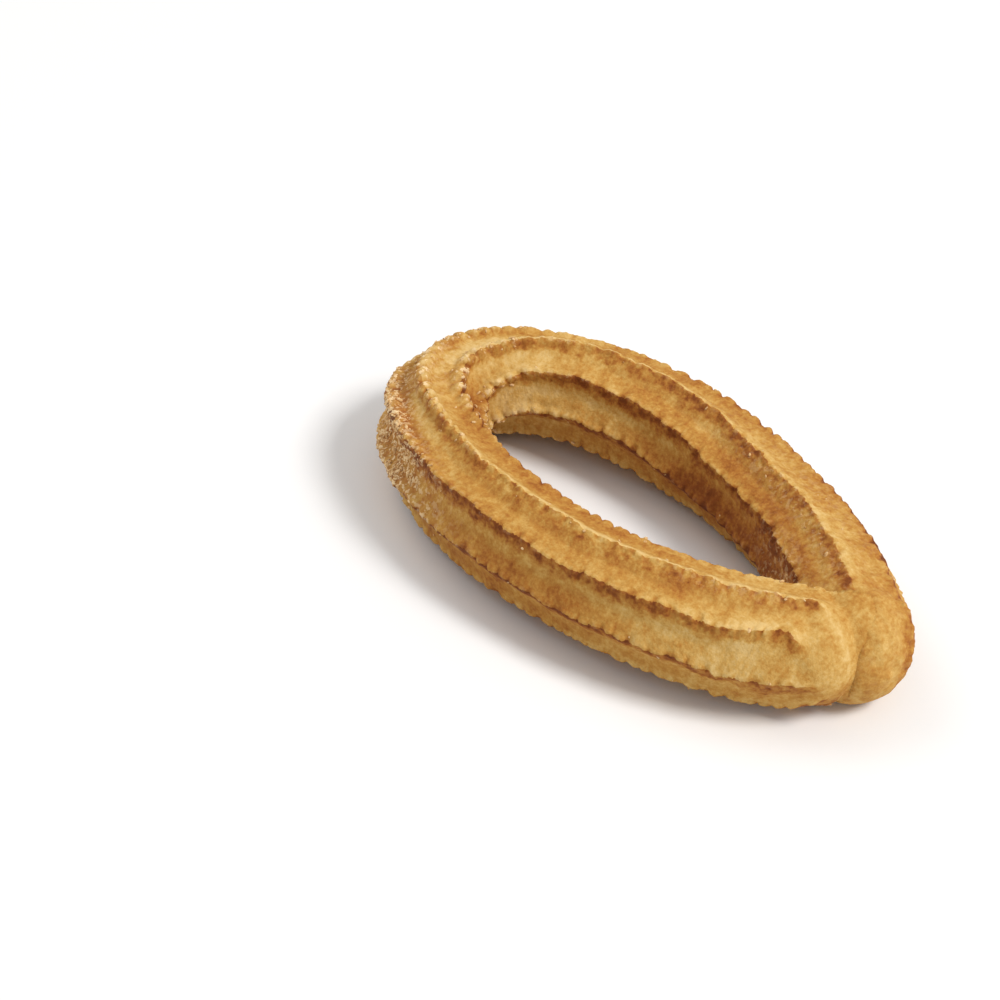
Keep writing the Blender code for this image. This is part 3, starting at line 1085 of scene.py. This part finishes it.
@dataclass
class FriedRope:
    """The rope of dough, with torn crests, pitted flanks and gently uneven valleys."""

    leg_rings: int = 560
    tip_rings: int = 44
    ridge_points: int = 22
    most_triangles: int = 196000
    sizes: dict[str, float] = field(default_factory=lambda: {
        "Leg Knob Spacing": 2.3 * MM, "Leg Knob Depth": 0.58 * MM, "Leg Knob Slant": 0.15 * MM,
        "Bend Knob Spacing": 2.6 * MM, "Bend Knob Depth": 1.20 * MM, "Bend Knob Slant": 0.9 * MM,
        "Ragged Length": 1.7 * MM, "Ragged Reach": 0.60 * MM,
        "Pit Spacing": 2.0 * MM, "Pit Depth": 0.30 * MM,
        "Lump Size": 7.0 * MM, "Lump Height": 0.22 * MM, "Bold Size": 3.0 * MM, "Bold Height": 1.25 * MM,
        "Grain Size": 0.9 * MM, "Grain Height": 0.40 * MM, "Streak Size": 1.1 * MM, "Streak Height": 0.12 * MM,
    })

    def build(self, crust: FriedCrust) -> bpy.types.Object:
        """Makes the rope.

        Args:
            crust: Its finish.

        Returns:
            The finished piece.
        """
        surface = RopeSurface(LoopPath(), Nose(), StarRope(), self.leg_rings, self.tip_rings, self.ridge_points)
        tree = self.relief(crust.material())
        rope = tree.apply(surface.mesh("fried_rope_form"), "fried_rope")
        self.thin(rope)
        self.keep_in_box(rope)
        rope.data.shade_smooth()
        return rope

    def relief(self, material: bpy.types.Material) -> GeometryTree:
        """The tree that tears the crests, pits the flanks and makes the valleys uneven.

        Args:
            material: The crust's material.

        Returns:
            The tree.
        """
        tree = GeometryTree("crust_relief", self.sizes)
        graph = tree.graph
        place = graph.run("GeometryNodeInputPosition", {}, "Position")
        bend, crumbly, ridged = (mark(graph, which) for which in (Mark.BEND, Mark.CRUMBLY, Mark.RIDGED))
        aside = mark(graph, Mark.ASIDE)
        line = graph.vector(mark(graph, Mark.RUN), mark(graph, Mark.RIDGE) * RIDGE_STEP, 0.0)
        leg_bead = graph.math("EXPONENT", aside * aside * -2.0)
        bend_bead = graph.math("EXPONENT", (aside / 1.5) ** 4.0 * -1.0)
        bead = (leg_bead * (1.0 - bend) + bend_bead * bend) * ridged
        leg = self.knobs(tree, line, "Leg", 0.95)
        round_bend = self.knobs(tree, line, "Bend", 0.4)
        patchy = graph.noise(line, 8.0 * MM, 2.0).span(0.30, 0.62)
        leg_depth = (1.0 - bend) * (0.35 + patchy * 0.65) * tree.size("Leg Knob Depth")
        bend_depth = bend * (0.7 + patchy * 0.3) * tree.size("Bend Knob Depth")
        cut = bead * ((1.0 - leg) * leg_depth + (1.0 - round_bend) * bend_depth)
        ragged = graph.noise(line, self.sizes["Ragged Length"], 2.0, 0.6) - 0.5
        wide = graph.math("EXPONENT", aside * aside * -0.7) * ridged
        shift = wide * ragged * 2.0 * (1.0 - bend * 0.6) * tree.size("Ragged Reach")
        pit = self.pits(tree, place)
        clear = mark(graph, Mark.CLEAR)
        lump = (graph.noise(place, self.sizes["Lump Size"], 2.0) - 0.5) * tree.size("Lump Height")
        bold = (graph.noise(place, self.sizes["Bold Size"], 2.0) - 0.5) * tree.size("Bold Height") * (mark(graph, Mark.BOLD) + 0.12)
        crumble = graph.math("MAXIMUM", wide * 0.6, crumbly * crumbly * 2.4) + 0.14
        grain = (graph.noise(place, self.sizes["Grain Size"], 3.0, 0.6) - 0.5) * tree.size("Grain Height") * crumble
        laid = self.way(graph, "laid")
        streak = (graph.noise(laid, self.sizes["Streak Size"], 2.0, 0.6) - 0.5) * tree.size("Streak Height")
        rise = (lump + bold + grain + streak) * 2.0 * clear - cut - pit * tree.size("Pit Depth")
        move = graph.vector_math("ADD", graph.vector_math("SCALE", self.way(graph, "away"), scale=rise),
                                 other=graph.vector_math("SCALE", self.way(graph, "sideways"), scale=shift))
        knob = leg * (1.0 - bend) + round_bend * bend
        shaped = tree.store(tree.geometry(), Mark.TOOTH, bead * knob)
        # The pits and the gaps between knobs are noted for the crust to paint shade in them.
        shaped = tree.store(shaped, Mark.PIT_SHADE, graph.math("MAXIMUM", pit, bead * (1.0 - knob).span(0.20, 0.90)))
        shaped = graph.run("GeometryNodeSetPosition", {"Geometry": shaped, "Offset": move}, "Geometry")
        tree.finish(shaped, material)
        return tree

    def knobs(self, tree: GeometryTree, line: Value, where: str, unevenness: float) -> Value:
        """Rounded knobs in a row along each crest, with a sharp gap between one and the next.

        Args:
            tree: The tree that they are added to.
            line: The place along the crests.
            where: Which of the tree's knob sizes hold: Leg or Bend.
            unevenness: How unlike each other the knobs are, from 0 to 1.

        Returns:
            The knobs' height, from 0 in a gap to 1.
        """
        graph = tree.graph
        wobble = (graph.noise(line, 9.0 * MM, 1.0) - 0.5) * 3.0 * MM
        slanted = mark(graph, Mark.RUN) + mark(graph, Mark.PHASE) * tree.size(f"{where} Knob Slant") + wobble
        order = slanted / tree.size(f"{where} Knob Spacing") + mark(graph, Mark.RIDGE) * 31.7
        from_middle = graph.cells_along(order, "F1", "Distance", unevenness)
        return graph.math("SUBTRACT", 1.0, from_middle * from_middle * 3.2, clamp=True)

    def pits(self, tree: GeometryTree, place: Value) -> Value:
        """Small bites out of the flanks under the crests.

        Args:
            tree: The tree that they are added to.
            place: Where they are read.

        Returns:
            Their depth, from 0 to 1.
        """
        graph = tree.graph
        off_crest = mark(graph, Mark.ASIDE) - 0.9
        flank = graph.math("EXPONENT", off_crest * off_crest * -4.0) * mark(graph, Mark.RIDGED)
        distance, _ = graph.cells(place, self.sizes["Pit Spacing"], 1.0)
        return (1.0 - distance.span(0.10, 0.45)) * flank * (0.15 + mark(graph, Mark.UNDER) * 0.85)

    def way(self, graph: Graph, name: str) -> Value:
        """A direction that the rope's points carry: away from its middle, or sideways round it."""
        return graph.run("GeometryNodeInputNamedAttribute", {"Name": name}, "Attribute", data_type="FLOAT_VECTOR")

    def thin(self, rope: bpy.types.Object) -> None:
        """Thins the mesh where it is nearly flat, so that it keeps under its limit of triangles."""
        triangles = sum(len(polygon.vertices) - 2 for polygon in rope.data.polygons)
        if triangles <= self.most_triangles:
            return
        thinner = rope.modifiers.new("thinner", "DECIMATE")
        thinner.ratio = self.most_triangles / triangles
        thinned = plain_mesh(rope, "fried_rope")
        rope.modifiers.remove(thinner)
        rope.data = thinned

    def keep_in_box(self, rope: bpy.types.Object) -> None:
        """Sets what would reach under the churro's resting surface back on to it."""
        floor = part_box(NODE)[0].z
        for vertex in rope.data.vertices:
            vertex.co.z = max(vertex.co.z, floor)


@dataclass
class Crumbs:
    """Crumbs of torn crust that cling to the crests, thickest round the bend."""

    name: str = "crust_crumbs"
    density: float = 5.0e6
    smallest: float = 0.12 * MM
    largest: float = 0.42 * MM
    seed: int = 11

    def build(self, rope: bpy.types.Object, finish: PaleCrumb) -> bpy.types.Object:
        """Scatters the crumbs over the rope's crests.

        Args:
            rope: The rope that they cling to.
            finish: What they look like.

        Returns:
            The crumbs as one piece.
        """
        tree = GeometryTree(self.name, {"Density": self.density, "Smallest": self.smallest, "Largest": self.largest})
        graph = tree.graph
        place = graph.run("GeometryNodeInputPosition", {}, "Position")
        tooth, bend = mark(graph, Mark.TOOTH), mark(graph, Mark.BEND)
        crumbly = mark(graph, Mark.CRUMBLY)
        patch = graph.noise(place, 4.0 * MM, 3.0).span(0.42, 0.66)
        lying_clear = graph.run("ShaderNodeSeparateXYZ", {"Vector": place}, "Z").span(0.5 * MM, 1.5 * MM)
        where = (tooth * (0.02 + bend * 0.16) + crumbly * crumbly * (0.8 + tooth * 0.8)) * (0.15 + patch * 0.85)
        density = where * lying_clear * tree.size("Density")
        scatter = graph.node("GeometryNodeDistributePointsOnFaces", distribute_method="RANDOM")
        graph.put(scatter.inputs["Mesh"], tree.geometry())
        graph.put(shown_socket(scatter.inputs, "Density"), density)
        scatter.inputs["Seed"].default_value = self.seed
        ball = graph.run("GeometryNodeMeshIcoSphere", {"Radius": 1.0, "Subdivisions": 1}, "Mesh")
        widths = tree.random(0.0, 1.0, self.seed + 1) ** 2.0
        scale = tree.size("Smallest") + widths * (tree.size("Largest") - tree.size("Smallest"))
        flat = graph.vector(scale * tree.random(0.8, 2.1, self.seed + 2), scale * tree.random(0.6, 1.1, self.seed + 3),
                            scale * tree.random(0.4, 0.8, self.seed + 4))
        turned = graph.run("FunctionNodeRotateRotation", {
            "Rotation": Value(graph, scatter.outputs["Rotation"]),
            "Rotate By": graph.vector(tree.random(-0.5, 0.5, self.seed + 5), tree.random(-0.5, 0.5, self.seed + 6),
                                      tree.random(0.0, 6.28, self.seed + 7)),
        }, "Rotation", rotation_space="LOCAL")
        inputs = {"Points": Value(graph, scatter.outputs["Points"]), "Instance": ball, "Scale": flat,
                  "Rotation": turned}
        grains = graph.run("GeometryNodeInstanceOnPoints", inputs, "Instances")
        tree.finish(grains, finish.material())
        piece = tree.apply(rope.data.copy(), self.name)
        LOG.info("%s: %d faces", self.name, len(piece.data.polygons))
        return piece


# --------------------------------------------------------------------------- the studio


@dataclass
class Studio:
    """The camera, the soft lights and the pale floor."""

    azimuth: float = 42.75
    elevation: float = 38.33
    roll: float = 4.6
    distance: float = 0.3808
    aim: Colour = (-0.0176, -0.0167, 0.0100)
    lens: float = 77.98
    floor_size: float = 6.0
    sky: float = 0.50

    def build(self) -> None:
        """Sets up the floor, the lights and the camera."""
        self.floor()
        self.light("key", Vector((0.72, 0.33, 0.95)), 0.40, 12.0, (1.0, 0.98, 0.96))
        self.light("fill", Vector((-0.85, -0.15, 0.80)), 0.9, 4.4, (1.0, 0.98, 0.96))
        self.world()
        self.camera()

    def floor(self) -> None:
        """The floor, at the height that the churro rests on."""
        half = self.floor_size / 2.0
        mesh = bpy.data.meshes.new("floor")
        mesh.from_pydata([(-half, -half, 0.0), (half, -half, 0.0), (half, half, 0.0), (-half, half, 0.0)], [],
                         [(0, 1, 2, 3)])
        mesh.transform(Matrix.Translation((0.0, 0.0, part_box(NODE)[0].z)))
        mesh.materials.append(PaleFloor().material())
        floor = bpy.data.objects.new("floor", mesh)
        bpy.context.scene.collection.objects.link(floor)

    def light(self, name: str, place: Vector, size: float, power: float, colour: Colour) -> None:
        """A soft square light that faces the churro.

        Args:
            name: Its name.
            place: Where it stands.
            size: The length of its sides.
            power: Its power in watts.
            colour: Its colour.
        """
        data = bpy.data.lights.new(name, "AREA")
        data.size = size
        data.energy = power
        data.color = colour
        light = bpy.data.objects.new(name, data)
        light.location = place
        light.rotation_euler = (-place).to_track_quat("-Z", "Y").to_euler()
        bpy.context.scene.collection.objects.link(light)

    def world(self) -> None:
        """Even white light from all round."""
        world = bpy.data.worlds.new("studio")
        world.use_nodes = True
        background = world.node_tree.nodes["Background"]
        background.inputs["Color"].default_value = (1.0, 1.0, 1.0, 1.0)
        background.inputs["Strength"].default_value = self.sky
        bpy.context.scene.world = world

    def camera(self) -> None:
        """The camera, which looks down on the churro from the front right."""
        azimuth, elevation = math.radians(self.azimuth), math.radians(self.elevation)
        back = Vector((math.sin(azimuth) * math.cos(elevation), -math.cos(azimuth) * math.cos(elevation),
                       math.sin(elevation)))
        level = Vector((0.0, 0.0, 1.0)).cross(back).normalized()
        turned = Matrix.Rotation(math.radians(self.roll), 3, back) @ level
        upward = back.cross(turned)
        data = bpy.data.cameras.new("camera")
        data.lens = self.lens
        data.sensor_width = 36.0
        data.clip_start = 0.01
        camera = bpy.data.objects.new("camera", data)
        turn = Matrix((turned, upward, back)).transposed()
        camera.matrix_world = Matrix.Translation(Vector(self.aim) + back * self.distance) @ turn.to_4x4()
        bpy.context.scene.collection.objects.link(camera)
        bpy.context.scene.camera = camera


def attach(piece: bpy.types.Object, replaces: bool) -> None:
    """Hands a finished piece to the frame.

    Args:
        piece: The piece.
        replaces: Whether it stands for the churro's solid.
    """
    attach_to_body(piece, BODY)
    if replaces:
        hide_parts(NODE)
    LOG.info("%s: %d faces", piece.name, len(piece.data.polygons))


def main() -> None:
    """Builds the churro and its studio."""
    logging.basicConfig(level=logging.INFO, format="%(message)s")
    Studio().build()
    rope = FriedRope().build(FriedCrust())
    crumbs = Crumbs().build(rope, PaleCrumb())
    attach(rope, True)
    attach(crumbs, False)
    bpy.context.scene.view_settings.view_transform = "Standard"


if __name__ == "__main__":
    main()
